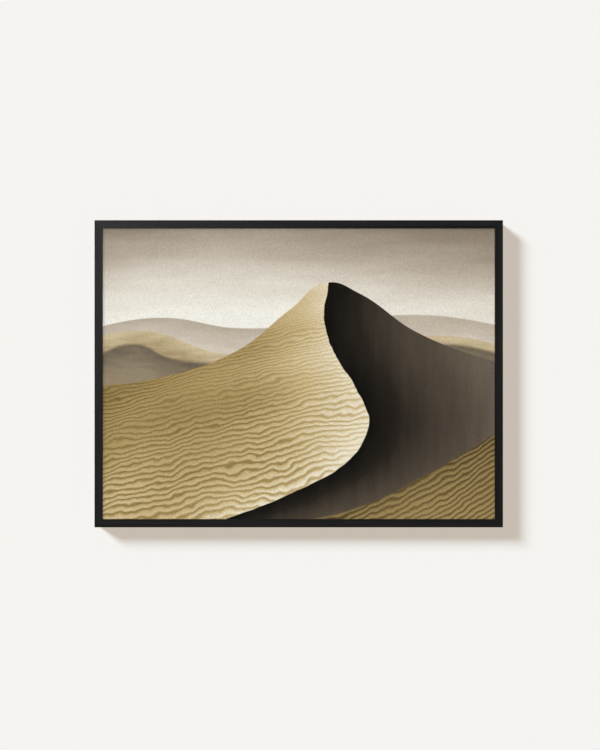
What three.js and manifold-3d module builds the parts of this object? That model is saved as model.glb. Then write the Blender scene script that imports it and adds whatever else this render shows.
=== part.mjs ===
// A framed print for a wall, in millimetres: a slim mitred wood moulding, clear glazing,
// the print, a backing board held in by framer's points, a sawtooth hanger and two bumpers.
// The picture faces -Y, X runs along its width and Z is up. The wall is the plane Y = 0, and
// the origin is the middle of the hanger's rear face, which lies on that wall.
import * as THREE from "three";
import Module from "manifold-3d";
import { mergeVertices } from "three/addons/utils/BufferGeometryUtils.js";

const wasm = await Module();
wasm.setup();

// The frame and its moulding
const FRAME_WIDTH = 1000;
const FRAME_HEIGHT = 752;
const HANGER_TO_TOP = 7; // from the middle of the hanger up to the frame's top edge
const STAND_OFF = 3; // from the wall to the back of the rails
const RAIL_FACE = 20; // width of the moulding as seen from the front
const RAIL_DEPTH = 35;
const RABBET_WIDTH = 6; // how far the lip reaches over the sheets
const LIP_THICKNESS = 2;
const EASED_RADIUS = 0.8; // on the two front edges of the moulding
const MITRE_GAP = 0.3; // hairline between two rails at a corner

// The sheets that lie in the rabbet, from the front
const SHEET_CLEARANCE = 1; // from a sheet's edge to the rabbet's wall
const GLAZING_THICKNESS = 1.25;
const PRINT_THICKNESS = 0.5;
const BOARD_THICKNESS = 3;

// The framer's points: steel tongues that stand out of the rabbet's wall behind the board
const POINTS_ON_LONG_SIDE = 5;
const POINTS_ON_SHORT_SIDE = 4;
const POINT_WIDTH = 6;
const POINT_LENGTH = 9;
const POINT_THICKNESS = 0.5;
const POINT_CORNER = 1.5;

// The sawtooth hanger: a steel strip whose ends lie on the top rail, cranked out to the wall
const STRIP_THICKNESS = 1;
const STRIP_LENGTH = 68;
const STRIP_MIDDLE = 40; // length of the middle that touches the wall
const STRIP_CRANK = 4; // length of each bend
const STRIP_CORNER = 3;
const BAND_HEIGHT = 8; // the plain band above the teeth
const TOOTH_HEIGHT = 2;
const TOOTH_PITCH = 4;
const TOOTH_TIP = 0.4; // width left at the tip of a tooth

// The hanger's screws, of which only the heads show
const SCREW_SPACING = 58;
const SCREW_HEAD_RADIUS = 3;
const SCREW_HEAD_HEIGHT = 1.5;
const SCREW_HEAD_DOME = 0.6;
const RECESS_LENGTH = 3.4;
const RECESS_WIDTH = 0.7;
const RECESS_DEPTH = 0.9;

// The rubber bumpers that keep the lower corners off the wall
const BUMPER_RADIUS = 5;
const BUMPER_EDGE = 0.8;
const BUMPER_FROM_SIDE = 20; // from the frame's side to a bumper's middle

// Steps in round stretches
const FINE_STEPS = 4;
const ROUND_STEPS = 32;

// Places that follow from the sizes above
const TOP = HANGER_TO_TOP;
const BOTTOM = TOP - FRAME_HEIGHT;
const LEFT = -FRAME_WIDTH / 2;
const RIGHT = FRAME_WIDTH / 2;
const MIDDLE_Z = (TOP + BOTTOM) / 2;
const RABBET_WALL = RAIL_FACE - RABBET_WIDTH; // inward from the frame's outer edge
const RAIL_REAR = -STAND_OFF;
const RAIL_FRONT = RAIL_REAR - RAIL_DEPTH;
const GLAZING_FRONT = RAIL_FRONT + LIP_THICKNESS;
const PRINT_FRONT = GLAZING_FRONT + GLAZING_THICKNESS;
const BOARD_FRONT = PRINT_FRONT + PRINT_THICKNESS;
const BOARD_REAR = BOARD_FRONT + BOARD_THICKNESS;
const TAB_REAR = RAIL_REAR + STRIP_THICKNESS; // rear face of the hanger's two ends
const TEETH_BOTTOM = -BAND_HEIGHT / 2 - TOOTH_HEIGHT;

const blackWood = new THREE.MeshStandardMaterial({ color: 0x2a2928, roughness: 0.5 });
const clearSheet = new THREE.MeshStandardMaterial({
  color: 0xf2f6f5,
  roughness: 0.05,
  transparent: true,
  opacity: 0.15,
});
const printedPaper = new THREE.MeshStandardMaterial({ color: 0x9c8f76, roughness: 0.85 });
const greyBoard = new THREE.MeshStandardMaterial({ color: 0x9a8f7c, roughness: 0.9 });
const platedSteel = new THREE.MeshStandardMaterial({ color: 0xb9b7b2, roughness: 0.35, metalness: 1 });
const blackRubber = new THREE.MeshStandardMaterial({ color: 0x262626, roughness: 0.9 });

// The four sides. Each one turns a distance along the side from its middle, and a distance
// inward from the frame's outer edge, into X and Z.
const SIDES = {
  top: {
    length: FRAME_WIDTH,
    points: POINTS_ON_LONG_SIDE,
    at: (along, inward) => [along, TOP - inward],
  },
  right: {
    length: FRAME_HEIGHT,
    points: POINTS_ON_SHORT_SIDE,
    at: (along, inward) => [RIGHT - inward, MIDDLE_Z - along],
  },
  bottom: {
    length: FRAME_WIDTH,
    points: POINTS_ON_LONG_SIDE,
    at: (along, inward) => [-along, BOTTOM + inward],
  },
  left: {
    length: FRAME_HEIGHT,
    points: POINTS_ON_SHORT_SIDE,
    at: (along, inward) => [LEFT + inward, MIDDLE_Z + along],
  },
};

// Sends every vertex of a geometry through a function that gives its place in the frame.
function placed(geometry, place) {
  const position = geometry.getAttribute("position");
  for (let i = 0; i < position.count; i += 1) {
    position.setXYZ(i, ...place(position.getX(i), position.getY(i), position.getZ(i)));
  }
  geometry.computeVertexNormals();
  return geometry;
}

function extruded(shape, depth) {
  return new THREE.ExtrudeGeometry(shape, {
    depth,
    steps: 1,
    curveSegments: FINE_STEPS,
    bevelEnabled: false,
  });
}

// Adds a quarter circle to an outline, anticlockwise from the given number of right angles.
function addQuarter(outline, x, y, radius, rightAngles) {
  const start = (rightAngles * Math.PI) / 2;
  outline.absarc(x, y, radius, start, start + Math.PI / 2, false);
}

function namedMesh(name, geometry, material) {
  const mesh = new THREE.Mesh(geometry, material);
  mesh.name = name;
  return mesh;
}

// A geometry as a manifold-3d solid, which can be joined and cut.
function solidOf(geometry) {
  const bare = geometry.clone();
  bare.deleteAttribute("normal");
  bare.deleteAttribute("uv");
  const merged = mergeVertices(bare);
  return new wasm.Manifold(
    new wasm.Mesh({
      numProp: 3,
      vertProperties: merged.getAttribute("position").array,
      triVerts: new Uint32Array(merged.index.array),
    }),
  );
}

// A manifold-3d solid as a flat-shaded geometry.
function geometryOf(solid) {
  const mesh = solid.getMesh();
  const shared = new THREE.BufferGeometry();
  shared.setAttribute("position", new THREE.BufferAttribute(mesh.vertProperties, mesh.numProp));
  shared.setIndex(new THREE.BufferAttribute(mesh.triVerts, 1));
  const flat = shared.toNonIndexed();
  flat.computeVertexNormals();
  return flat;
}

// The moulding's section, inward from its outer edge and along Y: a square bar with a rabbet
// behind a thin lip, and eased front edges.
function mouldingSection() {
  const section = new THREE.Shape();
  const easedAt = RAIL_FRONT + EASED_RADIUS;
  section.moveTo(0, easedAt);
  addQuarter(section, EASED_RADIUS, easedAt, EASED_RADIUS, 2);
  addQuarter(section, RAIL_FACE - EASED_RADIUS, easedAt, EASED_RADIUS, 3);
  section.lineTo(RAIL_FACE, GLAZING_FRONT);
  section.lineTo(RABBET_WALL, GLAZING_FRONT);
  section.lineTo(RABBET_WALL, RAIL_REAR);
  section.lineTo(0, RAIL_REAR);
  section.closePath();
  return section;
}

// One rail of the moulding. The further in a line of the section lies, the shorter it is,
// which cuts both ends to their 45 degree mitres.
function railGeometry(side) {
  return placed(extruded(mouldingSection(), 1), (inward, y, share) => {
    const reach = side.length / 2 - inward - MITRE_GAP / Math.SQRT2;
    const [x, z] = side.at((2 * share - 1) * reach, inward);
    return [x, y, z];
  });
}

function rails() {
  return Object.entries(SIDES).map(([name, side]) =>
    namedMesh("rail_" + name, railGeometry(side), blackWood),
  );
}

// A sheet that fills the rabbet, with its front face at a given depth.
function sheet(name, front, thickness, material) {
  const margin = 2 * (RABBET_WALL + SHEET_CLEARANCE);
  const geometry = new THREE.BoxGeometry(FRAME_WIDTH - margin, thickness, FRAME_HEIGHT - margin);
  const mesh = namedMesh(name, geometry, material);
  mesh.position.set(0, front + thickness / 2, MIDDLE_Z);
  return mesh;
}

// A tongue with a round-cornered end. It lies on the board and meets the rabbet's wall.
function pointGeometry(side, middle) {
  const half = POINT_WIDTH / 2;
  const end = RABBET_WALL + POINT_LENGTH - POINT_CORNER;
  const outline = new THREE.Shape();
  outline.moveTo(-half, RABBET_WALL);
  outline.lineTo(half, RABBET_WALL);
  addQuarter(outline, half - POINT_CORNER, end, POINT_CORNER, 0);
  addQuarter(outline, -half + POINT_CORNER, end, POINT_CORNER, 1);
  outline.closePath();
  return placed(extruded(outline, POINT_THICKNESS), (along, inward, depth) => {
    const [x, z] = side.at(middle + along, inward);
    return [x, BOARD_REAR + depth, z];
  });
}

function framersPoints() {
  const meshes = [];
  for (const [name, side] of Object.entries(SIDES)) {
    const spacing = (side.length - 2 * RABBET_WALL) / side.points;
    for (let i = 0; i < side.points; i += 1) {
      const middle = (i - (side.points - 1) / 2) * spacing;
      meshes.push(namedMesh(`point_${name}_${i + 1}`, pointGeometry(side, middle), platedSteel));
    }
  }
  return meshes;
}

// The hanger's strip seen from above, of one thickness all along: two ends on the rail, two
// bends and the middle on the wall.
function strip() {
  const bends = [
    [-STRIP_LENGTH / 2, TAB_REAR],
    [-STRIP_MIDDLE / 2 - STRIP_CRANK, TAB_REAR],
    [-STRIP_MIDDLE / 2, 0],
    [STRIP_MIDDLE / 2, 0],
    [STRIP_MIDDLE / 2 + STRIP_CRANK, TAB_REAR],
    [STRIP_LENGTH / 2, TAB_REAR],
  ];
  const woodSide = bends.map(([x, y]) => new THREE.Vector2(x, y - STRIP_THICKNESS));
  const wallSide = bends.map(([x, y]) => new THREE.Vector2(x, y)).reverse();
  const height = 2 * (BAND_HEIGHT + TOOTH_HEIGHT);
  const geometry = extruded(new THREE.Shape([...woodSide, ...wallSide]), height);
  geometry.translate(0, 0, -height / 2);
  return solidOf(geometry);
}

// The hanger's outline seen from behind the frame: a band with round ends and a toothed
// lower edge. It is cut through the whole depth of the strip.
function toothedOutline() {
  const end = STRIP_LENGTH / 2 - STRIP_CORNER;
  const low = TEETH_BOTTOM + STRIP_CORNER;
  const high = BAND_HEIGHT / 2 - STRIP_CORNER;
  const teeth = Math.floor(STRIP_MIDDLE / TOOTH_PITCH);
  const notch = (TOOTH_PITCH - TOOTH_TIP) / 2;
  const outline = new THREE.Shape();
  outline.moveTo(-STRIP_LENGTH / 2, low);
  addQuarter(outline, -end, low, STRIP_CORNER, 2);
  for (let i = 1; i < teeth; i += 1) {
    const x = (i - teeth / 2) * TOOTH_PITCH;
    outline.lineTo(x - notch, TEETH_BOTTOM);
    outline.lineTo(x, TEETH_BOTTOM + TOOTH_HEIGHT);
    outline.lineTo(x + notch, TEETH_BOTTOM);
  }
  addQuarter(outline, end, low, STRIP_CORNER, 3);
  addQuarter(outline, end, high, STRIP_CORNER, 0);
  addQuarter(outline, -end, high, STRIP_CORNER, 1);
  outline.closePath();
  const geometry = extruded(outline, 2 * STAND_OFF);
  return solidOf(placed(geometry, (x, z, depth) => [x, STAND_OFF / 2 - depth, z]));
}

function hanger() {
  return namedMesh("hanger", geometryOf(strip().intersect(toothedOutline())), platedSteel);
}

// A low domed screw head with a cross recess. It sits on one end of the hanger.
function screwHead(name, x) {
  const profile = new THREE.Path();
  profile.moveTo(0, 0);
  profile.lineTo(SCREW_HEAD_RADIUS, 0);
  profile.lineTo(SCREW_HEAD_RADIUS, SCREW_HEAD_HEIGHT - SCREW_HEAD_DOME);
  profile.quadraticCurveTo(SCREW_HEAD_RADIUS, SCREW_HEAD_HEIGHT, 0, SCREW_HEAD_HEIGHT);
  const head = solidOf(new THREE.LatheGeometry(profile.getPoints(FINE_STEPS), ROUND_STEPS));
  const slot = new THREE.BoxGeometry(RECESS_LENGTH, 2 * RECESS_DEPTH, RECESS_WIDTH);
  slot.translate(0, SCREW_HEAD_HEIGHT, 0);
  const crossing = slot.clone().rotateY(Math.PI / 2);
  const cut = head.subtract(solidOf(slot)).subtract(solidOf(crossing));
  const mesh = namedMesh(name, geometryOf(cut), platedSteel);
  mesh.position.set(x, TAB_REAR, (TEETH_BOTTOM + BAND_HEIGHT / 2) / 2);
  return mesh;
}

// A rubber disc from the rail's back to the wall, rounded where it meets the wall.
function bumper(name, x) {
  const edge = new THREE.Path();
  edge.moveTo(0, 0);
  edge.lineTo(BUMPER_RADIUS, 0);
  addQuarter(edge, BUMPER_RADIUS - BUMPER_EDGE, STAND_OFF - BUMPER_EDGE, BUMPER_EDGE, 0);
  edge.lineTo(0, STAND_OFF);
  const geometry = new THREE.LatheGeometry(edge.getPoints(FINE_STEPS), ROUND_STEPS);
  const mesh = namedMesh(name, geometry, blackRubber);
  mesh.position.set(x, RAIL_REAR, BOTTOM + RABBET_WALL / 2);
  return mesh;
}

const group = new THREE.Group();
group.add(...rails());
group.add(sheet("glazing", GLAZING_FRONT, GLAZING_THICKNESS, clearSheet));
group.add(sheet("print", PRINT_FRONT, PRINT_THICKNESS, printedPaper));
group.add(sheet("backing_board", BOARD_FRONT, BOARD_THICKNESS, greyBoard));
group.add(...framersPoints());
group.add(hanger());
group.add(screwHead("screw_left", -SCREW_SPACING / 2));
group.add(screwHead("screw_right", SCREW_SPACING / 2));
group.add(bumper("bumper_left", LEFT + BUMPER_FROM_SIDE));
group.add(bumper("bumper_right", RIGHT - BUMPER_FROM_SIDE));

export default group;
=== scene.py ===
# %% [markdown]
# # A framed print on a wall
#
# The object is a wide print in a slim black wood frame. Its construction is loaded first, as
# a fixed frame in metres: the picture faces -Y, Z is up, and the wall is the plane Y = 0.
# Every piece below takes its place from that frame and gets a finish of its own, and all but
# the corner nails replace a plain solid.

# %% Load the frame
import math

import bmesh
import bpy
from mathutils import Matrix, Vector


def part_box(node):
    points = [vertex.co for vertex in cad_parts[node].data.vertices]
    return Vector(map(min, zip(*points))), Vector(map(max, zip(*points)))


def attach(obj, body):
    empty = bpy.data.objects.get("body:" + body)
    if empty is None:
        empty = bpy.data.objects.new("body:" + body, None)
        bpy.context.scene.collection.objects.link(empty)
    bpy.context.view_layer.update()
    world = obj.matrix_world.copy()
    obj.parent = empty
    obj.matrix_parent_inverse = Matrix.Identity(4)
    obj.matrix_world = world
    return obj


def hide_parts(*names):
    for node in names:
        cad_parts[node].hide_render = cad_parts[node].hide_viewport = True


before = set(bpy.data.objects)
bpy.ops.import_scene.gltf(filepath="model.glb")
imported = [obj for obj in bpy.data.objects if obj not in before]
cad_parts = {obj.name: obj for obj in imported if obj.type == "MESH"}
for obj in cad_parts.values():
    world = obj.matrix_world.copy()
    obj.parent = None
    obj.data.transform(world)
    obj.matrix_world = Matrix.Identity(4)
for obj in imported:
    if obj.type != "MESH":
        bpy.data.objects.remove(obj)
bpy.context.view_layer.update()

# %% [markdown]
# ## Measures that the pieces share
#
# The rails, sheets and fittings meet each other at a few planes. Reading these planes off the
# frame, and not typing them again, keeps every piece in contact with its neighbours. The bar
# behind the lip is as wide as from the rail's outer side to where a point leaves the wood.

# %% Planes that the pieces share
TOP_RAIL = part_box("rail_top")
FRONT = TOP_RAIL[0].y
RAIL_BACK = TOP_RAIL[1].y
LIP_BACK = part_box("glazing")[0].y
FRAME_TOP = TOP_RAIL[1].z
FRAME_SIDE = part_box("rail_right")[1].x
MIDDLE = Vector((0, 0, (FRAME_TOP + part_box("rail_bottom")[0].z) / 2))
FACE_WIDTH = FRAME_TOP - TOP_RAIL[0].z
BAR_WIDTH = FRAME_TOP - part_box("point_top_1")[1].z
MM = 0.001
print("moulding's face and depth in mm:", [round(v / MM, 1) for v in (FACE_WIDTH, RAIL_BACK - FRONT)])

# %% [markdown]
# ## Helpers for materials
#
# Screens and paint charts give colours as sRGB hex codes, and shaders count in linear light,
# so one function turns the first into the second. Another adds a node: it sets the node's
# options, fills or links its inputs, and hands back the output to link onwards. The third
# starts a material and sets what is even all over its surface on the shader itself.

# %% Helpers for materials
def linear(code):
    """An sRGB hex colour as the linear colour that a shader takes."""
    parts = [int(code[i : i + 2], 16) / 255 for i in (1, 3, 5)]
    return (*(p / 12.92 if p <= 0.04045 else ((p + 0.055) / 1.055) ** 2.4 for p in parts), 1.0)


def add(tree, kind, inputs=None, stops=(), points=(), **settings):
    """Adds a node to a tree and returns the first of its outputs that is in use."""
    node = tree.nodes.new("ShaderNode" + kind)
    for name, value in settings.items():
        setattr(node, name, value)
    for key, value in (inputs or {}).items():
        named = [s for s in node.inputs if s.enabled and s.name == key]
        socket = named[0] if named else node.inputs[key]
        if isinstance(value, bpy.types.NodeSocket):
            tree.links.new(value, socket)
        else:
            socket.default_value = value
    for number, (place, code) in enumerate(stops):
        if number >= 2:
            node.color_ramp.elements.new(1.0)
        node.color_ramp.elements[number].position = place
        node.color_ramp.elements[number].color = linear(code)
    if points:
        curve = node.mapping.curves[0]
        curve.points[0].location = points[0]
        curve.points[-1].location = points[-1]
        for place in points[1:-1]:
            curve.points.new(*place)
        node.mapping.update()
    return next(s for s in node.outputs if s.enabled)


def start_material(name, roughness, metallic=0.0, specular=0.5):
    """A material with its shader set to even values. Returns it with its tree and shader."""
    material = bpy.data.materials.new(name)
    material.use_nodes = True
    tree = material.node_tree
    shader = tree.nodes["Principled BSDF"]
    shader.inputs["Roughness"].default_value = roughness
    shader.inputs["Metallic"].default_value = metallic
    shader.inputs["Specular IOR Level"].default_value = specular
    return material, tree, shader


print("a middle grey in linear light:", round(linear("#808080")[0], 3))

# %% [markdown]
# ## Black lacquered wood
#
# The face and the outer sides of the moulding are a close-grained hardwood, stained black and
# sprayed with satin lacquer. The lacquer fills most of the pores, so what the eye gets is an
# even, soft black with long faint streaks that catch the light. A wave pattern would be too
# regular, so a noise is stretched along the rail. Real pores are about 0.2 mm wide. They are
# drawn 1.5 mm wide here, or they would be too fine to show.

# %% Black lacquered wood
PORE_WIDTH = 1.5 * MM
PORE_LENGTH = 90 * MM
FIGURE_WIDTH = 9 * MM
FIGURE_LENGTH = 500 * MM


def wood_grain(tree, along, width, length, detail):
    """Noise in streaks of width by length that run along an axis: 0 for X, 2 for Z."""
    place = add(tree, "TexCoord").node.outputs["Object"]
    scale = [1 / width] * 3
    scale[along] = 1 / length
    squeezed = add(tree, "Mapping", {"Vector": place, "Scale": scale})
    return add(tree, "TexNoise", {"Vector": squeezed, "Scale": 1.0, "Detail": detail})


def black_wood(name, along):
    """Satin black lacquer over a grain that runs along one axis."""
    material, tree, shader = start_material(name, roughness=0.45, specular=0.3)
    pores = wood_grain(tree, along, PORE_WIDTH, PORE_LENGTH, 2.0)
    figure = wood_grain(tree, along, FIGURE_WIDTH, FIGURE_LENGTH, 3.0)
    streaks = add(tree, "Math", {0: pores, 1: figure}, operation="MULTIPLY")
    colour = add(tree, "ValToRGB", {"Fac": streaks}, stops=[(0.12, "#121212"), (0.4, "#1c1c1c")])
    tree.links.new(colour, shader.inputs["Base Color"])
    gloss = add(tree, "MapRange", {"Value": figure, "From Min": 0.3, "From Max": 0.7,
                                   "To Min": 0.38, "To Max": 0.5})
    tree.links.new(gloss, shader.inputs["Roughness"])
    relief = add(tree, "Bump", {"Height": pores, "Strength": 0.35, "Distance": 0.05 * MM})
    tree.links.new(relief, shader.inputs["Normal"])
    return material


black_level = black_wood("black_lacquered_wood_level", 0)
black_upright = black_wood("black_lacquered_wood_upright", 2)
print("made", black_level.name, "and", black_upright.name)

# %% [markdown]
# ## Raw wood
#
# Moulding is stained and sprayed on what shows, so its back, its rabbet and its cut mitres stay
# bare. The wood under the lacquer is a pale, straight-grained one with a dry, dull surface.
# Rings cut through a block would be truer at the mitres, but on bars this narrow only the
# streaks show, so the stretched noise serves again, in two sizes. The fibres are drawn 1.1 mm
# wide, coarser than life, so that they show.

# %% Raw wood
FIBRE_WIDTH = 1.1 * MM
FIBRE_LENGTH = 70 * MM
RING_WIDTH = 5 * MM
RING_LENGTH = 400 * MM


def raw_wood(name, along):
    """Bare pale wood with straight grain along one axis."""
    material, tree, shader = start_material(name, roughness=0.75, specular=0.3)
    fibres = wood_grain(tree, along, FIBRE_WIDTH, FIBRE_LENGTH, 3.0)
    rings = wood_grain(tree, along, RING_WIDTH, RING_LENGTH, 1.0)
    both = add(tree, "Math", {0: fibres, 1: rings}, operation="ADD")
    mean = add(tree, "Math", {0: both, 1: 0.5}, operation="MULTIPLY")
    colour = add(tree, "ValToRGB", {"Fac": mean},
                 stops=[(0.34, "#9c7a4f"), (0.5, "#c4a377"), (0.66, "#d9bf98")])
    tree.links.new(colour, shader.inputs["Base Color"])
    relief = add(tree, "Bump", {"Height": fibres, "Strength": 0.5, "Distance": 0.1 * MM})
    tree.links.new(relief, shader.inputs["Normal"])
    return material


raw_level = raw_wood("raw_wood_level", 0)
raw_upright = raw_wood("raw_wood_upright", 2)
print("made", raw_level.name, "and", raw_upright.name)

# %% [markdown]
# ## Helpers for modelling
#
# The pieces are modelled as by hand: a block is added at its size and place, and then cut,
# extruded and bevelled in edit mode. Operators act on what is selected, so one helper picks
# vertices, edges or faces by a test of their place or direction. The last helpers round a
# piece's edges a little, since no made edge is sharp, smooth its shading, bind it to the
# frame and copy it where it repeats.

# %% Helpers for modelling
SAME_PLACE = 0.02 * MM
# A direction follows an axis if its share along it is above one of these.
STRAIGHT = 0.99
ROUGHLY = 0.9
SMOOTH_BELOW = math.radians(50)
ROUNDING_STEPS = 2


def start_block(name, low, high):
    """A block between two corners, in edit mode with nothing selected."""
    bpy.ops.object.select_all(action="DESELECT")
    middle = [(a + b) / 2 for a, b in zip(low, high)]
    bpy.ops.mesh.primitive_cube_add(size=1, location=middle)
    block = bpy.context.active_object
    block.name = block.data.name = name
    block.scale = [b - a for a, b in zip(low, high)]
    bpy.ops.object.transform_apply()
    bpy.ops.object.mode_set(mode="EDIT")
    return block


def pick(kind, test):
    """Selects just the verts, edges or faces of the active mesh that pass a test."""
    bpy.ops.mesh.select_mode(type=kind)
    bpy.ops.mesh.select_all(action="DESELECT")
    mesh = bpy.context.active_object.data
    form = bmesh.from_edit_mesh(mesh)
    form.normal_update()
    for part in {"VERT": form.verts, "EDGE": form.edges, "FACE": form.faces}[kind]:
        if test(part):
            part.select_set(True)
    bmesh.update_edit_mesh(mesh)


def middle_of(edge):
    return (edge.verts[0].co + edge.verts[1].co) / 2


def runs_along(edge, axis):
    """True if an edge is parallel to an axis: 0, 1 or 2."""
    line = (edge.verts[1].co - edge.verts[0].co).normalized()
    return abs(line[axis]) > STRAIGHT


def near(a, b):
    return abs(a - b) < SAME_PLACE


def cut(point, normal, **choices):
    """Cuts the whole active mesh by a plane."""
    bpy.ops.mesh.select_all(action="SELECT")
    bpy.ops.mesh.bisect(plane_co=point, plane_no=normal, **choices)


def give_picked(slot_number):
    """Gives the faces that are selected another of the piece's materials."""
    mesh = bpy.context.active_object.data
    form = bmesh.from_edit_mesh(mesh)
    for face in form.faces:
        if face.select:
            face.material_index = slot_number
    bmesh.update_edit_mesh(mesh)


def turn(degrees, centre):
    """Turns the active piece about the Y axis through a point, and leaves edit mode."""
    bpy.ops.object.mode_set(mode="OBJECT")
    bpy.ops.transform.rotate(value=math.radians(degrees), orient_axis="Y", center_override=centre)
    bpy.ops.object.transform_apply()


def bind(piece, nodes):
    """Fixes a piece to the frame's one body, in place of the plain solids it stands for."""
    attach(piece, "root")
    if nodes:
        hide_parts(*nodes)


def finish(piece, nodes, materials, round_edges=0.0):
    """Rounds and shades the active piece, gives it its materials and binds it to the frame."""
    bpy.ops.object.mode_set(mode="OBJECT")
    if round_edges:
        rounding = piece.modifiers.new("Rounded edges", "BEVEL")
        rounding.width = round_edges
        rounding.segments = ROUNDING_STEPS
        rounding.limit_method = "ANGLE"
        bpy.ops.object.modifier_apply(modifier=rounding.name)
    bpy.ops.object.shade_smooth_by_angle(angle=SMOOTH_BELOW)
    shading = piece.modifiers.new("Flat faces stay flat", "WEIGHTED_NORMAL")
    shading.keep_sharp = True
    bpy.ops.object.modifier_apply(modifier=shading.name)
    for material in materials:
        piece.data.materials.append(material)
    bind(piece, nodes)
    print("made", piece.name, "with", len(piece.data.polygons), "faces")


def copy_to(piece, name, degrees, start, end):
    """A copy with a mesh of its own, turned about a point that then moves from start to end."""
    bpy.ops.object.select_all(action="DESELECT")
    bpy.context.view_layer.objects.active = piece
    piece.select_set(True)
    bpy.ops.object.duplicate(linked=False)
    copy = bpy.context.active_object
    copy.name = copy.data.name = name
    turn(degrees, start)
    bpy.ops.transform.translate(value=end - start)
    bpy.ops.object.transform_apply()
    return copy


print("two places closer than", SAME_PLACE / MM, "mm count as one")

# %% [markdown]
# ## The rails
#
# A rail is a length of moulding: a square bar with a thin lip at the front, which leaves a
# rabbet for the sheets. It could be drawn as a profile and swept, but a bar with one face
# pulled out into the lip needs fewer steps. The two front edges are eased with a small bevel
# before the ends are cut, so that the bevels meet cleanly in the mitre. The mitres are glued
# tight, so they close to a hairline here, where the plain solids keep a small gap. Each rail
# is modelled as the top one and then turned round the middle of the picture to its side.

# %% The rails
EASE = 0.8 * MM
EASE_STEPS = 5
GLUE_LINE = 0.01 * MM
ONE_PLANE = math.radians(0.1)
TURNS = {"top": 0, "right": -90, "bottom": 180, "left": 90}


def rail(side, half_length, reach, black, raw):
    """One rail. Its outer edge lies at a distance reach from the middle of the picture."""
    outer = MIDDLE.z + reach
    inner = outer - FACE_WIDTH
    rabbet = outer - BAR_WIDTH
    low = (-half_length, FRONT, rabbet)
    high = (half_length, RAIL_BACK, outer)
    piece = start_block("moulding_" + side, low, high)
    cut((0, LIP_BACK, 0), (0, 1, 0))
    pick("FACE", lambda f: f.normal.z < -ROUGHLY and f.calc_center_median().y < LIP_BACK)
    bpy.ops.mesh.extrude_region_move(TRANSFORM_OT_translate={"value": (0, 0, inner - rabbet)})
    bpy.ops.mesh.select_all(action="SELECT")
    bpy.ops.mesh.dissolve_limited(angle_limit=ONE_PLANE)
    pick("EDGE", lambda e: runs_along(e, 0) and near(middle_of(e).y, FRONT)
         and (near(middle_of(e).z, outer) or near(middle_of(e).z, inner)))
    bpy.ops.mesh.bevel(offset=EASE, segments=EASE_STEPS, affect="EDGES")
    for end in (-1, 1):
        cut((end * half_length, 0, outer), (end, 0, -1), clear_outer=True, use_fill=True)
    pick("FACE", lambda f: f.normal.y > ROUGHLY
         or (f.normal.z < -ROUGHLY and near(f.calc_center_median().z, rabbet)))
    give_picked(1)
    turn(TURNS[side], MIDDLE)
    finish(piece, ["rail_" + side], [black, raw])
    xs = [v.co.x for v in piece.data.vertices]
    print("  from x", round(min(xs), 4), "to", round(max(xs), 4))


HALF_HEIGHT = FRAME_TOP - MIDDLE.z
for side in ("top", "bottom"):
    rail(side, FRAME_SIDE - GLUE_LINE, HALF_HEIGHT, black_level, raw_level)
for side in ("left", "right"):
    rail(side, HALF_HEIGHT - GLUE_LINE, FRAME_SIDE, black_upright, raw_upright)

# %% [markdown]
# ## Corner nails
#
# From behind, a glued mitre shows the edge of a small V of blued steel that was pressed in
# across the joint. It is a strip bent in its middle, nearly flush with the wood. Its form is a
# short bar whose middle is pushed to one side, so that one arm lies in each rail.

# %% Corner nails
NAIL_ARM = 4 * MM
NAIL_THICKNESS = 0.6 * MM
NAIL_PROUD = 0.05 * MM
NAIL_SUNK = 2 * MM
NAIL_BEND = 0.6 * NAIL_ARM
NAIL_INWARD = 7 * MM
HEAT_PATCH = 4 * MM
OTHER_CORNERS = ((1, 1, -90), (1, -1, 180), (-1, -1, 90))


def blued_steel():
    """Heat-blued strip: dark, slightly blue metal, dulled by handling."""
    material, tree, shader = start_material("blued_steel", roughness=0.4, metallic=1.0)
    place = add(tree, "TexCoord").node.outputs["Object"]
    heat = add(tree, "TexNoise", {"Vector": place, "Scale": 1 / HEAT_PATCH, "Detail": 2.0})
    colour = add(tree, "ValToRGB", {"Fac": heat}, stops=[(0.35, "#5d6068"), (0.65, "#7f7f82")])
    tree.links.new(colour, shader.inputs["Base Color"])
    return material


nail_corner = Vector((-FRAME_SIDE + NAIL_INWARD, RAIL_BACK, FRAME_TOP - NAIL_INWARD))
first_nail = start_block(
    "corner_nail_1",
    nail_corner + Vector((-NAIL_ARM, -NAIL_SUNK, -NAIL_THICKNESS / 2)),
    nail_corner + Vector((NAIL_ARM, NAIL_PROUD, NAIL_THICKNESS / 2)),
)
cut(nail_corner, (1, 0, 0))
pick("VERT", lambda v: near(v.co.x, nail_corner.x))
bpy.ops.transform.translate(value=(0, 0, -NAIL_BEND))
turn(45, nail_corner)
finish(first_nail, [], [blued_steel()], round_edges=0.03 * MM)
for number, (side, level, degrees) in enumerate(OTHER_CORNERS, start=2):
    end = Vector((side * -nail_corner.x, RAIL_BACK, MIDDLE.z + level * (nail_corner.z - MIDDLE.z)))
    bind(copy_to(first_nail, f"corner_nail_{number}", degrees, nail_corner, end), [])

# %% [markdown]
# ## The clear sheet
#
# The glazing is acrylic with a low-reflection coating, which is lighter and safer than glass
# at this size. The coating keeps the darks of the print dark: it mirrors well under one percent
# of what it faces, and more only at a low angle. A full glass shader would darken the print,
# as few light paths get through one. So light passes straight through a Transparent shader
# here, and a Glossy one adds the mirror image. Its share follows the usual rule for smooth
# surfaces: a small part head-on, and the fifth power towards the edge. The sheets touch in
# life. A film of air is left between them here, so that no two faces share a plane, which
# would show as noise.

# %% The clear sheet
AIR_FILM = 0.05 * MM
MIRRORED_HEAD_ON = 0.003
MIRRORED_AT_EDGE = 0.9
POLISH = 0.03


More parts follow.
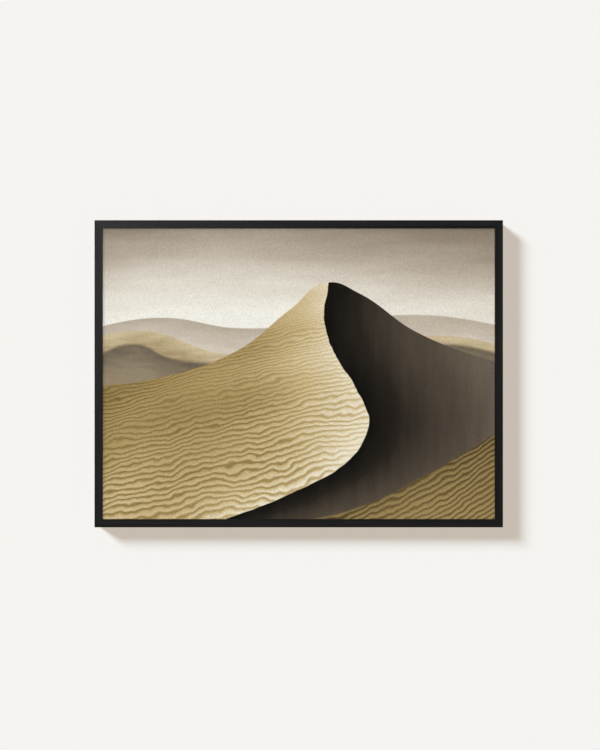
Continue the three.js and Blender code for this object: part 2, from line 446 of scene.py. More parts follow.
def coated_acrylic():
    """Clear polished sheet whose coating lets it mirror very little."""
    material, tree, shader = start_material("coated_acrylic", roughness=POLISH)
    tree.nodes.remove(shader)
    mirrored = add(tree, "BsdfGlossy", {"Color": linear("#ffffff"), "Roughness": POLISH})
    passed = add(tree, "BsdfTransparent", {"Color": linear("#fefefe")})
    facing = add(tree, "LayerWeight", {"Blend": 0.5}).node.outputs["Facing"]
    steep = add(tree, "Math", {0: facing, 1: 5.0}, operation="POWER")
    share = add(tree, "Math", {0: steep, 1: MIRRORED_AT_EDGE, 2: MIRRORED_HEAD_ON},
                operation="MULTIPLY_ADD")
    surface = add(tree, "MixShader", {0: share, 1: passed, 2: mirrored})
    tree.links.new(surface, tree.nodes["Material Output"].inputs["Surface"])
    return material


def sheet(name, node, materials, air, edge):
    """A sheet in its plain solid's place, with rounded edges and a film of air on both sides."""
    low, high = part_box(node)
    film = Vector((0, air, 0))
    piece = start_block(name, low + film, high - film)
    finish(piece, [node], materials, round_edges=edge)
    return piece


clear_sheet = sheet("clear_sheet", "glazing", [coated_acrylic()], AIR_FILM, 0.2 * MM)

# %% [markdown]
# ## The backing board
#
# A grey board closes the back. It is pressed from waste paper, so it is a warm grey with faint
# mottling, specks of darker fibre and a slightly rough face. One noise, with many octaves,
# gives the mottling, and a finer one, cut off below a level, the specks. A real speck is under
# a millimetre long. They are drawn about 2 mm long here, so that they show.

# %% The backing board
CLOUD = 60 * MM
FLECK = 2.8 * MM


def grey_board():
    """Uncoated grey board: matte, mottled and flecked."""
    material, tree, shader = start_material("grey_board", roughness=0.92, specular=0.2)
    place = add(tree, "TexCoord").node.outputs["Object"]
    clouds = add(tree, "TexNoise", {"Vector": place, "Scale": 1 / CLOUD,
                                    "Detail": 6.0, "Roughness": 0.75})
    base = add(tree, "ValToRGB", {"Fac": clouds}, stops=[(0.3, "#9d9384"), (0.7, "#a59b8b")])
    flecks = add(tree, "TexNoise", {"Vector": place, "Scale": 1 / FLECK,
                                    "Detail": 3.0, "Roughness": 0.7})
    dark = add(tree, "MapRange", {"Value": flecks, "From Min": 0.59, "From Max": 0.71, "To Max": 0.65})
    colour = add(tree, "Mix", {"Factor": dark, "A": base, "B": linear("#6b6152")}, data_type="RGBA")
    tree.links.new(colour, shader.inputs["Base Color"])
    relief = add(tree, "Bump", {"Height": flecks, "Strength": 0.4, "Distance": 0.1 * MM})
    tree.links.new(relief, shader.inputs["Normal"])
    return material


sheet("grey_backing_board", "backing_board", [grey_board()], 0.0, 0.3 * MM)

# %% [markdown]
# ## Zinc-plated steel
#
# The hanger, its screws and the framer's points are pressed from thin steel and barrel-plated
# with zinc. The plating is a light, slightly warm grey with a soft shine that varies in small
# patches, and the tumbling leaves it without a direction. Cells with sharp borders would be
# the spangle of hot-dipped zinc. Here one soft noise drives both the colour and the shine.

# %% Zinc-plated steel
SPANGLE = 3 * MM
DENT = 0.8 * MM


def zinc_plate():
    """Barrel-plated zinc over pressed steel: cloudy and half bright."""
    material, tree, shader = start_material("zinc_plated_steel", roughness=0.35, metallic=1.0)
    place = add(tree, "TexCoord").node.outputs["Object"]
    spangle = add(tree, "TexNoise", {"Vector": place, "Scale": 1 / SPANGLE,
                                     "Detail": 4.0, "Roughness": 0.65})
    colour = add(tree, "ValToRGB", {"Fac": spangle},
                 stops=[(0.3, "#a9a7a0"), (0.5, "#bcbab3"), (0.7, "#cdccc6")])
    tree.links.new(colour, shader.inputs["Base Color"])
    gloss = add(tree, "MapRange", {"Value": spangle, "From Min": 0.3, "From Max": 0.7,
                                   "To Min": 0.48, "To Max": 0.28})
    tree.links.new(gloss, shader.inputs["Roughness"])
    dents = add(tree, "TexNoise", {"Vector": place, "Scale": 1 / DENT, "Detail": 2.0})
    relief = add(tree, "Bump", {"Height": dents, "Strength": 0.2, "Distance": 0.02 * MM})
    tree.links.new(relief, shader.inputs["Normal"])
    return material


zinc = zinc_plate()
print("made", zinc.name)

# %% [markdown]
# ## The framer's points
#
# Points are flat steel tongues, shot into the rabbet's wall so that they hold the board down.
# They can be bent up and down again by hand, so each has a crease near the wood and a tip that
# stands slightly off the board. One is shaped from a flat bar: the crease and the lift are
# rows of vertices moved after some cuts, and the two corners of the tip are rounded by a
# bevel. It is then copied to the place and side of every other point.

# %% The framer's points
TIP_CORNER = 1.5 * MM
TIP_STEPS = 5
CREASE = 1.6 * MM
CREASE_DEPTH = 0.12 * MM
TIP_LIFT = 0.35 * MM
CUT_ROWS = (0.3, 0.5, 0.75)
LIFTED_ROWS = (0.5, 0.75, 1.0)


def first_point():
    """The point in the middle of the top rail: it hangs down from the rabbet's wall."""
    low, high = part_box("point_top_3")
    piece = start_block("framers_point_top_3", low, high)
    for share in CUT_ROWS:
        cut((0, 0, high.z + share * (low.z - high.z)), (0, 0, 1))
    cut((0, 0, high.z - CREASE), (0, 0, 1))
    pick("VERT", lambda v: near(v.co.z, high.z - CREASE) and near(v.co.y, high.y))
    bpy.ops.transform.translate(value=(0, -CREASE_DEPTH, 0))
    for share in LIFTED_ROWS:
        level = high.z + share * (low.z - high.z)
        pick("VERT", lambda v: near(v.co.z, level))
        bpy.ops.transform.translate(value=(0, TIP_LIFT * share**2, 0))
    pick("EDGE", lambda e: runs_along(e, 1) and near(middle_of(e).z, low.z))
    bpy.ops.mesh.bevel(offset=TIP_CORNER, segments=TIP_STEPS, affect="EDGES")
    finish(piece, ["point_top_3"], [zinc], round_edges=0.06 * MM)
    return piece, Vector(((low.x + high.x) / 2, high.y, high.z))


model_point, model_root = first_point()
point_nodes = sorted(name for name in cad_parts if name.startswith("point_"))
for node in point_nodes:
    if node == "point_top_3":
        continue
    low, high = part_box(node)
    middle = (low + high) / 2
    side = node.split("_")[1]
    root = {"top": (middle.x, high.y, high.z), "bottom": (middle.x, high.y, low.z),
            "left": (low.x, high.y, middle.z), "right": (high.x, high.y, middle.z)}[side]
    copy = copy_to(model_point, "framers_" + node, TURNS[side], model_root, Vector(root))
    bind(copy, [node])
print("placed", len(point_nodes), "points")

# %% [markdown]
# ## The sawtooth hanger
#
# The hanger is one strip of steel with a toothed lower edge. A press bends it so that its ends
# lie on the rail and its middle stands off, which lets a nail in behind the teeth. The form
# starts as a flat strip against the wall. Cuts across it give the lines to bend and to push
# up: the ends move forward to the wood, and every notch is one row of vertices pushed up.

# %% The sawtooth hanger
TOOTH_PITCH = 4 * MM
TOOTH_HEIGHT = 2 * MM
TOOTH_TIP = 0.4 * MM
TEETH = 10
END_CORNER = 3 * MM
END_STEPS = 8
BEND_ROUNDING = 1.2 * MM
BEND_STEPS = 4
STRIP_THICKNESS = 1 * MM
SLOPE_LENGTH = 4 * MM
MIDDLE_HALF = TEETH * TOOTH_PITCH / 2
BEND_HALF = MIDDLE_HALF + SLOPE_LENGTH


def hanger():
    """The strip, its bends and its teeth."""
    low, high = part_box("hanger")
    piece = start_block("sawtooth_hanger", (low.x, high.y - STRIP_THICKNESS, low.z), high)
    for side in (-1, 1):
        cut((side * MIDDLE_HALF, 0, 0), (1, 0, 0))
        cut((side * BEND_HALF, 0, 0), (1, 0, 0))
    pick("VERT", lambda v: abs(v.co.x) > BEND_HALF - SAME_PLACE)
    bpy.ops.transform.translate(value=(0, low.y - high.y + STRIP_THICKNESS, 0))
    notches = [(i - TEETH / 2) * TOOTH_PITCH for i in range(1, TEETH)]
    for notch in notches:
        for offset in (-1, 0, 1):
            cut((notch + offset * (TOOTH_PITCH - TOOTH_TIP) / 2, 0, 0), (1, 0, 0))
    pick("VERT", lambda v: near(v.co.z, low.z) and any(near(v.co.x, notch) for notch in notches))
    bpy.ops.transform.translate(value=(0, 0, TOOTH_HEIGHT))
    pick("EDGE", lambda e: runs_along(e, 1) and near(abs(middle_of(e).x), high.x))
    bpy.ops.mesh.bevel(offset=END_CORNER, segments=END_STEPS, affect="EDGES")
    bends = (MIDDLE_HALF, BEND_HALF)
    pick("EDGE", lambda e: runs_along(e, 2) and any(near(abs(middle_of(e).x), x) for x in bends))
    bpy.ops.mesh.bevel(offset=BEND_ROUNDING, segments=BEND_STEPS, affect="EDGES")
    finish(piece, ["hanger"], [zinc], round_edges=0.12 * MM)


hanger()

# %% [markdown]
# ## The hanger's screws
#
# Each end of the strip is held by a small round-headed wood screw with a cross recess. A short
# cylinder gets a domed rim from a wide bevel, and two thin blocks are cut out of it. The
# second screw is a copy, turned a little, because no two screws stop at the same angle.

# %% The hanger's screws
SCREW_SIDES = 48
SCREW_TURN = 28
DOME = 0.9 * MM
DOME_STEPS = 6
RECESS_LENGTH = 3.4 * MM
RECESS_WIDTH = 0.7 * MM
RECESS_DEPTH = 0.9 * MM


def start_disc(name, node, sides):
    """A short cylinder along Y that fills a node's box, in edit mode."""
    low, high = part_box(node)
    bpy.ops.object.select_all(action="DESELECT")
    bpy.ops.mesh.primitive_cylinder_add(
        vertices=sides, radius=(high.x - low.x) / 2, depth=high.y - low.y,
        location=(low + high) / 2, rotation=(math.pi / 2, 0, 0))
    disc = bpy.context.active_object
    disc.name = disc.data.name = name
    bpy.ops.object.transform_apply()
    bpy.ops.object.mode_set(mode="EDIT")
    return disc


def round_rim(level, offset, steps):
    """Rounds the rim of a disc at a level along Y, in edit mode."""
    pick("EDGE", lambda e: near(e.verts[0].co.y, level) and near(e.verts[1].co.y, level))
    bpy.ops.mesh.bevel(offset=offset, segments=steps, affect="EDGES")


def rear_middle(node):
    """The middle of a node's rear face."""
    low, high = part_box(node)
    return Vector(((low.x + high.x) / 2, high.y, (low.z + high.z) / 2))


def cross_cutters(centre):
    """Two crossed blocks that reach RECESS_DEPTH under a point."""
    blocks = []
    for x, z in ((RECESS_LENGTH, RECESS_WIDTH), (RECESS_WIDTH, RECESS_LENGTH)):
        reach = Vector((x / 2, RECESS_DEPTH, z / 2))
        blocks.append(start_block("recess_cutter", centre - reach, centre + reach))
        bpy.ops.object.mode_set(mode="OBJECT")
    return blocks


def first_screw():
    """The left screw's head."""
    top = rear_middle("screw_left")
    cutters = cross_cutters(top)
    piece = start_disc("hanger_screw_left", "screw_left", SCREW_SIDES)
    round_rim(top.y, DOME, DOME_STEPS)
    bpy.ops.object.mode_set(mode="OBJECT")
    for cutter in cutters:
        recess = piece.modifiers.new("Recess", "BOOLEAN")
        recess.operation = "DIFFERENCE"
        recess.object = cutter
        bpy.ops.object.modifier_apply(modifier=recess.name)
        bpy.data.objects.remove(cutter)
    finish(piece, ["screw_left"], [zinc], round_edges=0.05 * MM)
    return piece


left_screw = first_screw()
screw_tops = rear_middle("screw_left"), rear_middle("screw_right")
right_screw = copy_to(left_screw, "hanger_screw_right", SCREW_TURN, *screw_tops)
bind(right_screw, ["screw_right"])

# %% [markdown]
# ## The bumpers
#
# Two moulded rubber discs keep the lower corners off the wall and let air behind the frame.
# A profile spun round the axis would do. A cylinder with a bevelled rim and an inset face
# needs fewer steps: the inset leaves a flat ring round a shallow dish, as the mould does.
# Rubber is nearly black with a dull, slightly dusty skin.

# %% The bumpers
BUMPER_SIDES = 64
RIM_ROUNDING = 0.8 * MM
RIM_STEPS = 5
FLAT_RING = 1.3 * MM
DISH_SLOPE = 0.25 * MM
DISH_DEPTH = 0.12 * MM
BLOOM = 2 * MM


def black_rubber():
    """Moulded rubber: dull black with a faint bloom."""
    material, tree, shader = start_material("black_rubber", roughness=0.8, specular=0.3)
    place = add(tree, "TexCoord").node.outputs["Object"]
    bloom = add(tree, "TexNoise", {"Vector": place, "Scale": 1 / BLOOM, "Detail": 4.0})
    colour = add(tree, "ValToRGB", {"Fac": bloom}, stops=[(0.4, "#1b1b1b"), (0.7, "#2b2a29")])
    tree.links.new(colour, shader.inputs["Base Color"])
    relief = add(tree, "Bump", {"Height": bloom, "Strength": 0.3, "Distance": 0.05 * MM})
    tree.links.new(relief, shader.inputs["Normal"])
    return material


def first_bumper():
    """The left bumper."""
    piece = start_disc("rubber_bumper_left", "bumper_left", BUMPER_SIDES)
    round_rim(rear_middle("bumper_left").y, RIM_ROUNDING, RIM_STEPS)
    pick("FACE", lambda f: f.normal.y > STRAIGHT)
    bpy.ops.mesh.inset(thickness=FLAT_RING)
    bpy.ops.mesh.inset(thickness=DISH_SLOPE, depth=-DISH_DEPTH)
    finish(piece, ["bumper_left"], [black_rubber()])
    return piece


left_bumper = first_bumper()
bumper_middles = rear_middle("bumper_left"), rear_middle("bumper_right")
right_bumper = copy_to(left_bumper, "rubber_bumper_right", 0, *bumper_middles)
bind(right_bumper, ["bumper_right"])

# %% [markdown]
# ## The picture
#
# The print shows wind-blown sand in late light: a large dune with a rippled, golden windward
# side and a deep shadow behind its crest, hazy ridges beyond it and a pale sky. It is printed
# ink, so it is drawn in the colour of the paper's surface and has no relief. Every point of
# the sheet is described by two shares, from 0 at its left or lower edge to 1 at the other.
# Outlines are drawn as curves over these shares, and each part of the view has one value for
# its lightness, which a colour ramp turns into ink.

# %% The picture: where a point lies on the sheet
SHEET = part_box("print")
picture, tree, picture_shader = start_material("pigment_print_of_dunes", roughness=0.85, specular=0.15)
place = add(tree, "TexCoord").node.outputs["Object"]
axes = add(tree, "SeparateXYZ", {0: place}).node.outputs
across = add(tree, "MapRange", {"Value": axes["X"], "From Min": SHEET[0].x, "From Max": SHEET[1].x})
up = add(tree, "MapRange", {"Value": axes["Z"], "From Min": SHEET[0].z, "From Max": SHEET[1].z})
print("sheet in mm:", [round(v / MM, 1) for v in SHEET[1] - SHEET[0]])

# %% [markdown]
# A ridge needs two things: a mask that is 1 below its skyline, and how far below the skyline
# a point lies, because haze and light change with that. One function gives both.

# %% The picture: skylines
def skyline(points, softness):
    """For a skyline over the picture's width: the depth below it, and a mask that is 1 there."""
    line = add(tree, "FloatCurve", {"Value": across}, points=points)
    depth = add(tree, "Math", {0: line, 1: up}, operation="SUBTRACT")
    mask = add(tree, "MapRange", {"Value": depth, "From Min": -softness, "From Max": softness},
               interpolation_type="SMOOTHSTEP")
    return depth, mask


def waves(size_across, size_up, detail=3.0):
    """Soft noise with patches of a given size in metres."""
    scale = (1 / size_across, 1.0, 1 / size_up)
    squeezed = add(tree, "Mapping", {"Vector": place, "Scale": scale})
    return add(tree, "TexNoise", {"Vector": squeezed, "Scale": 1.0, "Detail": detail})


far_depth, far_mask = skyline(
    [(0, 0.66), (0.16, 0.69), (0.34, 0.655), (0.55, 0.67), (0.8, 0.7), (1, 0.665)], 0.002)
mid_depth, mid_mask = skyline(
    [(0, 0.63), (0.12, 0.645), (0.3, 0.57), (0.6, 0.58), (0.84, 0.63), (1, 0.6)], 0.0015)
hollow_depth, hollow_mask = skyline(
    [(0, 0.565), (0.09, 0.6), (0.17, 0.555), (0.3, 0.535), (0.7, 0.56), (0.86, 0.6), (1, 0.57)], 0.008)
_, dune_mask = skyline([
    (0, 0.46), (0.16, 0.49), (0.34, 0.575), (0.48, 0.72), (0.575, 0.81), (0.65, 0.775), (0.8, 0.64),
    (1, 0.54)], 0.001)
floor_depth, floor_mask = skyline([(0, 0), (0.5, 0.0), (0.66, 0.05), (0.84, 0.17), (1, 0.3)], 0.006)
print("with the skylines:", len(tree.nodes), "nodes")

# %% [markdown]
# A sky is lightest near the horizon: one curve gives its light by height, another from side
# to side, and a stretched noise lays a veil of cloud over it. Ridges get paler with distance,
# each lightest at its foot or crest, where haze or light gathers.

# %% The picture: sky and distant ridges
height_light = add(tree, "FloatCurve", {"Value": up},
                   points=[(0, 0.98), (0.64, 0.98), (0.75, 0.86), (0.87, 0.64), (1, 0.38)])
side_light = add(tree, "FloatCurve", {"Value": across}, points=[(0, 0.5), (0.3, 0.56), (1, 0.4)])
clear_sky = add(tree, "Math", {0: height_light, 1: side_light}, operation="ADD")
veil = add(tree, "Math", {0: waves(0.5, 0.07, 4.0), 1: 0.3, 2: -0.68}, operation="MULTIPLY_ADD")
sky_light = add(tree, "Math", {0: clear_sky, 1: veil}, operation="ADD")
sky = add(tree, "ValToRGB", {"Fac": sky_light}, stops=[
    (0.1, "#6b6052"), (0.4, "#978a79"), (0.6, "#bdb1a0"), (0.8, "#e3ddcf"), (0.95, "#f2efe4")])
haze = waves(0.13, 0.03)
far_light = add(tree, "Math", {0: haze, 1: 0.1, 2: far_depth}, operation="MULTIPLY_ADD")
far = add(tree, "ValToRGB", {"Fac": far_light}, stops=[(0.03, "#b3a693"), (0.13, "#d5cbbb")])
folds = waves(0.06, 0.012)
mid_light = add(tree, "Math", {0: folds, 1: 0.12, 2: mid_depth}, operation="MULTIPLY_ADD")
mid_lit = add(tree, "ValToRGB", {"Fac": mid_light}, stops=[(0.03, "#dacaa6"), (0.13, "#ab9670")])
mid_gloom = add(tree, "Math", {0: folds, 1: 0.08, 2: hollow_depth}, operation="MULTIPLY_ADD")
mid_shade = add(tree, "ValToRGB", {"Fac": mid_gloom}, stops=[(0.03, "#6a5e4f"), (0.13, "#96886f")])
mid = add(tree, "Mix", {"Factor": hollow_mask, "A": mid_lit, "B": mid_shade}, data_type="RGBA")
print("with sky and ridges:", len(tree.nodes), "nodes")

# %% [markdown]
# The crest of the dune runs down the picture in a long S. A curve gives how far across it is
# at each height. To its left the light rakes over the sand, brightest at the crest. Ripples
# lie closer together the further off they are, so their count grows with the logarithm of
# the distance below a vanishing line. Noise that shrinks in the same way bends them. Each
# ripple has a broad bright back and a short dark lee, which one periodic curve describes.

# %% The picture: the lit side and its ripples
RIPPLES = 38.0
EVEN_SAND = 0.55
crest = add(tree, "FloatCurve", {"Value": up}, points=[
    (0, 0.3), (0.1, 0.49), (0.2, 0.62), (0.32, 0.675), (0.44, 0.65), (0.56, 0.595), (0.68, 0.565),
    (0.81, 0.575), (1, 0.58)])
wobble = add(tree, "Math", {0: waves(0.03, 0.05), 1: 0.012, 2: -0.006}, operation="MULTIPLY_ADD")
crest = add(tree, "Math", {0: crest, 1: wobble}, operation="ADD")
from_crest = add(tree, "Math", {0: crest, 1: across}, operation="SUBTRACT")
tilted = add(tree, "Math", {0: across, 1: 0.3, 2: 0.9}, operation="MULTIPLY_ADD")
nearness = add(tree, "Math", {0: tilted, 1: up}, operation="SUBTRACT")
remoteness = add(tree, "Math", {0: nearness, 1: math.e}, operation="LOGARITHM")


def sand_noise(along, deep, detail=1.0):
    """Noise on the sand, with patches that many times smaller than the view across and deep."""
    ground = add(tree, "CombineXYZ", {"X": across, "Y": remoteness})
    scaled = add(tree, "Mapping", {"Vector": ground, "Scale": (along, deep, 1.0)})
    return add(tree, "TexNoise", {"Vector": scaled, "Scale": 1.0, "Detail": detail})


def ripples(count, density):
    """How much lighter than even sand the ripples are: less than 0 on a lee."""
    bent = add(tree, "Math", {0: sand_noise(5.0, 4.0), 1: 4.5}, operation="MULTIPLY")
    frayed = add(tree, "Math", {0: sand_noise(26.0, 16.0), 1: 1.5, 2: bent}, operation="MULTIPLY_ADD")
    phase = add(tree, "Math", {0: count, 1: density, 2: frayed}, operation="MULTIPLY_ADD")
    part = add(tree, "Math", {0: phase}, operation="FRACT")
    light = add(tree, "FloatCurve", {"Value": part}, points=[
        (0, 0.5), (0.12, 0.1), (0.22, 0.08), (0.4, 0.55), (0.6, 0.8), (0.8, 0.92), (0.93, 0.75),
        (1, 0.5)])
    return add(tree, "Math", {0: light, 1: EVEN_SAND}, operation="SUBTRACT")


strength = add(tree, "MapRange", {"Value": nearness, "From Min": 0.2, "From Max": 0.8,
                                  "To Min": 0.04, "To Max": 0.34})
patches = add(tree, "MapRange", {"Value": sand_noise(3.0, 3.0), "From Min": 0.35, "From Max": 0.65,
                                 "To Min": 0.55, "To Max": 1.1})
strength = add(tree, "Math", {0: strength, 1: patches}, operation="MULTIPLY")
relief_light = add(tree, "Math", {0: ripples(remoteness, RIPPLES), 1: strength}, operation="MULTIPLY")
slope_light = add(tree, "FloatCurve", {"Value": from_crest}, points=[
    (0, 0.84), (0.05, 0.74), (0.16, 0.64), (0.36, 0.53), (0.6, 0.47), (1, 0.4)])
swell = add(tree, "Math", {0: sand_noise(2.2, 1.8), 1: 0.5, 2: -0.25}, operation="MULTIPLY_ADD")
grit = add(tree, "Math", {0: sand_noise(260.0, 150.0, 3.0), 1: 0.3, 2: -0.15}, operation="MULTIPLY_ADD")
lit_light = slope_light
for part in (relief_light, swell, grit):
    lit_light = add(tree, "Math", {0: lit_light, 1: part}, operation="ADD")
lit = add(tree, "ValToRGB", {"Fac": lit_light}, stops=[
    (0.15, "#3f3319"), (0.35, "#7a673b"), (0.55, "#ac945f"), (0.75, "#cfba8b"), (0.95, "#ede3ca")])
print("with the lit side:", len(tree.nodes), "nodes")

# %% [markdown]
# Behind the crest the sand lies in its own shadow. It is nearly black at the crest, where no
# light comes back, and lifts to a warm taupe towards the far end of the slope. In the lower
# right corner the ground runs out into the light again, with broad, low ripples. Then all
# parts of the view are laid over each other by their masks, from the furthest to the nearest.

# %% The picture: the shadowed side and the ground in front
FRONT_RIPPLES = 48.0
into_shade = add(tree, "Math", {0: across, 1: crest}, operation="SUBTRACT")
shade_light = add(tree, "FloatCurve", {"Value": into_shade}, points=[
    (0, 0.03), (0.04, 0.12), (0.12, 0.34), (0.25, 0.6), (0.42, 0.84), (1, 0.98)])
slides = add(tree, "Math", {0: waves(0.03, 0.2), 1: 0.2, 2: -0.1}, operation="MULTIPLY_ADD")
shade_light = add(tree, "Math", {0: shade_light, 1: slides}, operation="ADD")
shade = add(tree, "ValToRGB", {"Fac": shade_light},
            stops=[(0.0, "#0c0b08"), (0.25, "#27221b"), (0.6, "#544a3e"), (1.0, "#7c7263")])
shade_mask = add(tree, "MapRange", {"Value": into_shade, "From Min": -0.0012, "From Max": 0.0012},
                 interpolation_type="SMOOTHSTEP")
front_relief = add(tree, "Math", {0: ripples(floor_depth, FRONT_RIPPLES), 1: patches},
                   operation="MULTIPLY")
out_of_shade = add(tree, "FloatCurve", {"Value": floor_depth},
                   points=[(0, 0.36), (0.06, 0.46), (0.2, 0.54), (1, 0.6)])
front_light = add(tree, "Math", {0: front_relief, 1: 0.36, 2: out_of_shade}, operation="MULTIPLY_ADD")
for part in (grit, swell):
    front_light = add(tree, "Math", {0: part, 1: 0.8, 2: front_light}, operation="MULTIPLY_ADD")
front = add(tree, "ValToRGB", {"Fac": front_light},
            stops=[(0.1, "#2f2514"), (0.4, "#6c5a36"), (0.6, "#9f8858"), (0.8, "#bfa873")])
sand = lit
for part, mask in ((shade, shade_mask), (front, floor_mask)):
    sand = add(tree, "Mix", {"Factor": mask, "A": sand, "B": part}, data_type="RGBA")
view = sky
for part, mask in ((far, far_mask), (mid, mid_mask), (sand, dune_mask)):
    view = add(tree, "Mix", {"Factor": mask, "A": view, "B": part}, data_type="RGBA")
print("with the whole view:", len(tree.nodes), "nodes")

# %% [markdown]
# The print is an enlargement, so it has a fine film grain all over. It is drawn 2.6 mm wide,
# coarser than life, so that it shows. Then the ink goes onto the sheet: the front face takes
# the picture, and the edges and the back stay white paper. The sheet also gets a map of its
# own in which the front face fills nearly the whole square, so that a picture baked from it
# keeps its detail. The edges and the back share a thin strip below it.

# %% The picture: grain, paper and sheet
GRAIN = 2.6 * MM
PULP = 8 * MM
FRONT_FROM = 0.03
REST_UP_TO = 0.02
grain = add(tree, "TexNoise", {"Vector": place, "Scale": 1 / GRAIN, "Detail": 3.0, "Roughness": 0.6})
brightness = add(tree, "MapRange", {"Value": grain, "From Min": 0.25, "From Max": 0.75,
                                    "To Min": 0.83, "To Max": 1.17})
ink = add(tree, "HueSaturation", {"Color": view, "Value": brightness})
tree.links.new(ink, picture_shader.inputs["Base Color"])


def white_paper():
    """Heavy cotton paper: a warm white with soft mottling."""
    material, tree, shader = start_material("cotton_paper", roughness=0.9, specular=0.2)
    place = add(tree, "TexCoord").node.outputs["Object"]
    pulp = add(tree, "TexNoise", {"Vector": place, "Scale": 1 / PULP, "Detail": 3.0})
    colour = add(tree, "ValToRGB", {"Fac": pulp}, stops=[(0.3, "#eae6dc"), (0.7, "#f3f0e8")])
    tree.links.new(colour, shader.inputs["Base Color"])
    return material


paper = sheet("print_sheet", "print", [white_paper(), picture], AIR_FILM, 0.05 * MM)
bpy.ops.object.mode_set(mode="EDIT")
pick("FACE", lambda f: f.normal.y < -ROUGHLY)
give_picked(1)
bpy.ops.object.mode_set(mode="OBJECT")
bake_map = paper.data.uv_layers.new(name="OFBake")
for face in paper.data.polygons:
    is_front = face.normal.y < -ROUGHLY
    for corner in face.loop_indices:
        point = paper.data.vertices[paper.data.loops[corner].vertex_index].co
        u, v = [(point[i] - SHEET[0][i]) / (SHEET[1][i] - SHEET[0][i]) for i in (0, 2)]
        v = FRONT_FROM + (1 - FRONT_FROM) * v if is_front else REST_UP_TO * v
        bake_map.data[corner].uv = (u, v)
print("mapped", paper.name)

# %% [markdown]
# ## The stage
#
# The print hangs on a plain, warm white wall above a pale floor. Both are only a setting. The
# wall is painted on its front and lets sight through from behind, so that the back of the
# frame can be looked at, and it doesn't shade what is behind it. It has a little light of its
# own, which keeps the shadow beside the frame as pale and warm as a large bright room would.
# The floor has some too, as it lies too far down for the lamps to make it pale.

# %% The stage
WALL_REACH = 6.0
FLOOR_DROP = 1.5
WALL_GAP = 0.2 * MM
WALL_COLOUR = linear("#dce7f2")
WALL_GLOW = linear("#c1b7aa")
FLOOR_COLOUR = linear("#e2dfd8")
FLOOR_GLOW = linear("#a29f98")


def stage_plane(name, size, location, rotation, material):
    """A plane of the setting, with its rotation in degrees. It throws no light on the rest."""
    bpy.ops.object.select_all(action="DESELECT")
    turned = [math.radians(angle) for angle in rotation]
    bpy.ops.mesh.primitive_plane_add(size=size, location=location, rotation=turned)
    plane = bpy.context.active_object
    plane.name = plane.data.name = name
    plane.data.materials.append(material)
    plane.visible_diffuse = False
    plane.visible_shadow = False
    return plane


def paint(name, roughness, specular, colour, glow):
    """An even paint with some light of its own."""
    material, tree, shader = start_material(name, roughness=roughness, specular=specular)
    shader.inputs["Base Color"].default_value = colour
    shader.inputs["Emission Color"].default_value = glow
    shader.inputs["Emission Strength"].default_value = 1.0
    return material, tree, shader


wall_paint, tree, shader = paint("wall_paint", 1.0, 0.0, WALL_COLOUR, WALL_GLOW)
behind = add(tree, "NewGeometry").node.outputs["Backfacing"]
surface = add(tree, "MixShader", {0: behind, 1: shader.outputs[0], 2: add(tree, "BsdfTransparent")})
tree.links.new(surface, tree.nodes["Material Output"].inputs["Surface"])
floor_paint = paint("floor_paint", 0.9, 0.1, FLOOR_COLOUR, FLOOR_GLOW)[0]
floor_level = MIDDLE.z - FLOOR_DROP
wall_middle = (0, WALL_GAP, floor_level + WALL_REACH)
wall = stage_plane("wall", 2 * WALL_REACH, wall_middle, (90, 0, 0), wall_paint)
floor = stage_plane("floor", 2 * WALL_REACH, (0, 0, floor_level), (0, 0, 0), floor_paint)
floor.visible_glossy = False
print("wall and floor stand")

# %% [markdown]
# ## Light
#
# One soft key light stands high on the left in front of the wall. Its direction is given by
# how far it throws a shadow right and down for each metre of depth, and its spread makes the
# shadow's edge as soft as a large window would. The light is shared out: the wall gets the
# key in full and no room light, so that the frame's shadow on it is deep. Everything else
# gets a part of the key, and a wide room light from the front, so that the shadow of the thin
# lip on the print stays faint. A dark cloth stands where a photographer would hang it, behind
# the camera, so that neither the lacquer nor the glazing mirrors a bright room. A pale card
# up on the left puts a soft sheen on the nearest corner. A softbox behind the wall lights the
# back for anyone who looks there.

# %% Light
KEY_RIGHT = 1.585
KEY_DOWN = 1.2
KEY_SPREAD = 16
KEY_POWER = 1.54
KEY_POWER_ON_WALL = 3.4
KEY_PLACE = MIDDLE - Vector((KEY_RIGHT, 1.0, -KEY_DOWN))
ROOM_PLACE = MIDDLE - Vector((0, 2, 0))
SOFTBOX_PLACE = MIDDLE + Vector((0.9, 2.3, 1.2))
CARD_PLACE = MIDDLE + Vector((-1.15, -2.6, 0.85))
CLOTH_PLACE = MIDDLE + Vector((0, -3.2, 0))
CLOTH_SIZE = 5.0


def lamp(name, kind, location, energy, spread, shared, things, colour=(1.0, 1.0, 1.0)):
    """A light turned towards the picture. Its spread is degrees for a sun, or else a size.
    Shared is INCLUDE if only the things get it, or EXCLUDE if they are left out."""
    data = bpy.data.lights.new(name, kind)
    data.energy = energy
    data.color = colour
    if kind == "SUN":
        data.angle = math.radians(spread)
    else:
        data.size = spread
    light = bpy.data.objects.new(name, data)
    bpy.context.collection.objects.link(light)
    light.location = location
    light.rotation_euler = (MIDDLE - Vector(location)).to_track_quat("-Z", "Y").to_euler()
    light.visible_camera = False
    group = bpy.data.collections.new(name + "_share")
    light.light_linking.receiver_collection = group
    for thing in things:
        group.objects.link(thing)
    for entry in group.collection_objects:
        entry.light_linking.link_state = shared
    return light


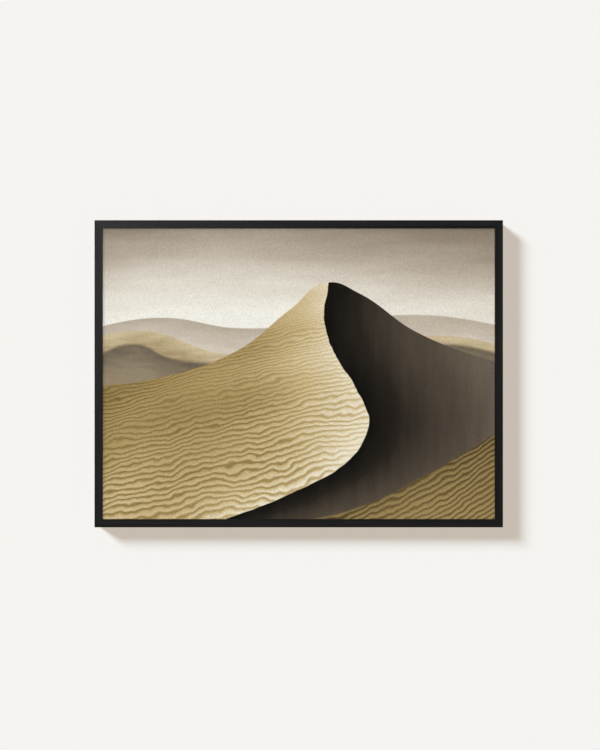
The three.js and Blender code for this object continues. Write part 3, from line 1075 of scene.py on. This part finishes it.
lamp("key_light", "SUN", KEY_PLACE, energy=KEY_POWER, spread=KEY_SPREAD,
     shared="EXCLUDE", things=[wall])
lamp("key_on_wall", "SUN", KEY_PLACE, energy=KEY_POWER_ON_WALL, spread=KEY_SPREAD,
     shared="INCLUDE", things=[wall])
room = lamp("room_light", "SUN", ROOM_PLACE, energy=2.3, spread=60,
            shared="EXCLUDE", things=[wall], colour=(0.975, 0.985, 1.0))
room.visible_glossy = False
lamp("softbox_behind", "AREA", SOFTBOX_PLACE, energy=85, spread=1.6,
     shared="EXCLUDE", things=[wall, floor], colour=(1.0, 0.98, 0.95))
card = lamp("sheen_card", "AREA", CARD_PLACE, energy=11, spread=0.8,
            shared="EXCLUDE", things=[clear_sheet, wall])
card.visible_diffuse = False

world = bpy.data.worlds.new("pale_room")
bpy.context.scene.world = world
world.use_nodes = True
tree = world.node_tree
dim_room = tree.nodes["Background"]
dim_room.inputs["Color"].default_value = linear("#423f3c")
pale_room = add(tree, "Background", {"Color": linear("#e4e1da")})
seen = add(tree, "LightPath").node.outputs["Is Camera Ray"]
shown = add(tree, "MixShader", {0: seen, 1: dim_room.outputs[0], 2: pale_room})
tree.links.new(shown, tree.nodes["World Output"].inputs["Surface"])

dark_cloth, tree, shader = start_material("dark_cloth", roughness=1.0, specular=0.0)
shader.inputs["Base Color"].default_value = linear("#0a0a0a")
cloth = stage_plane("dark_cloth", CLOTH_SIZE, CLOTH_PLACE, (90, 0, 0), dark_cloth)
cloth.visible_camera = False

# %% [markdown]
# ## Camera
#
# The camera looks squarely at the wall from about two and a half metres with a normal lens,
# so the frame shows no side and its edges stay parallel. The frame sits a touch left of the
# middle and above it.

# %% Camera
LENS = 50
SENSOR = 36
VIEW_HEIGHT = 1.8355
AIM_RIGHT = 3.1 * MM
AIM_DOWN = 3.0 * MM
distance = VIEW_HEIGHT * LENS / SENSOR
camera_data = bpy.data.cameras.new("camera")
camera_data.lens = LENS
camera_data.sensor_width = SENSOR
camera = bpy.data.objects.new("camera", camera_data)
bpy.context.collection.objects.link(camera)
camera.location = (MIDDLE.x + AIM_RIGHT, FRONT - distance, MIDDLE.z - AIM_DOWN)
camera.rotation_euler = (math.pi / 2, 0, 0)
bpy.context.scene.camera = camera
bpy.context.scene.view_settings.view_transform = "Standard"
print("camera", round(distance, 3), "m before the frame")
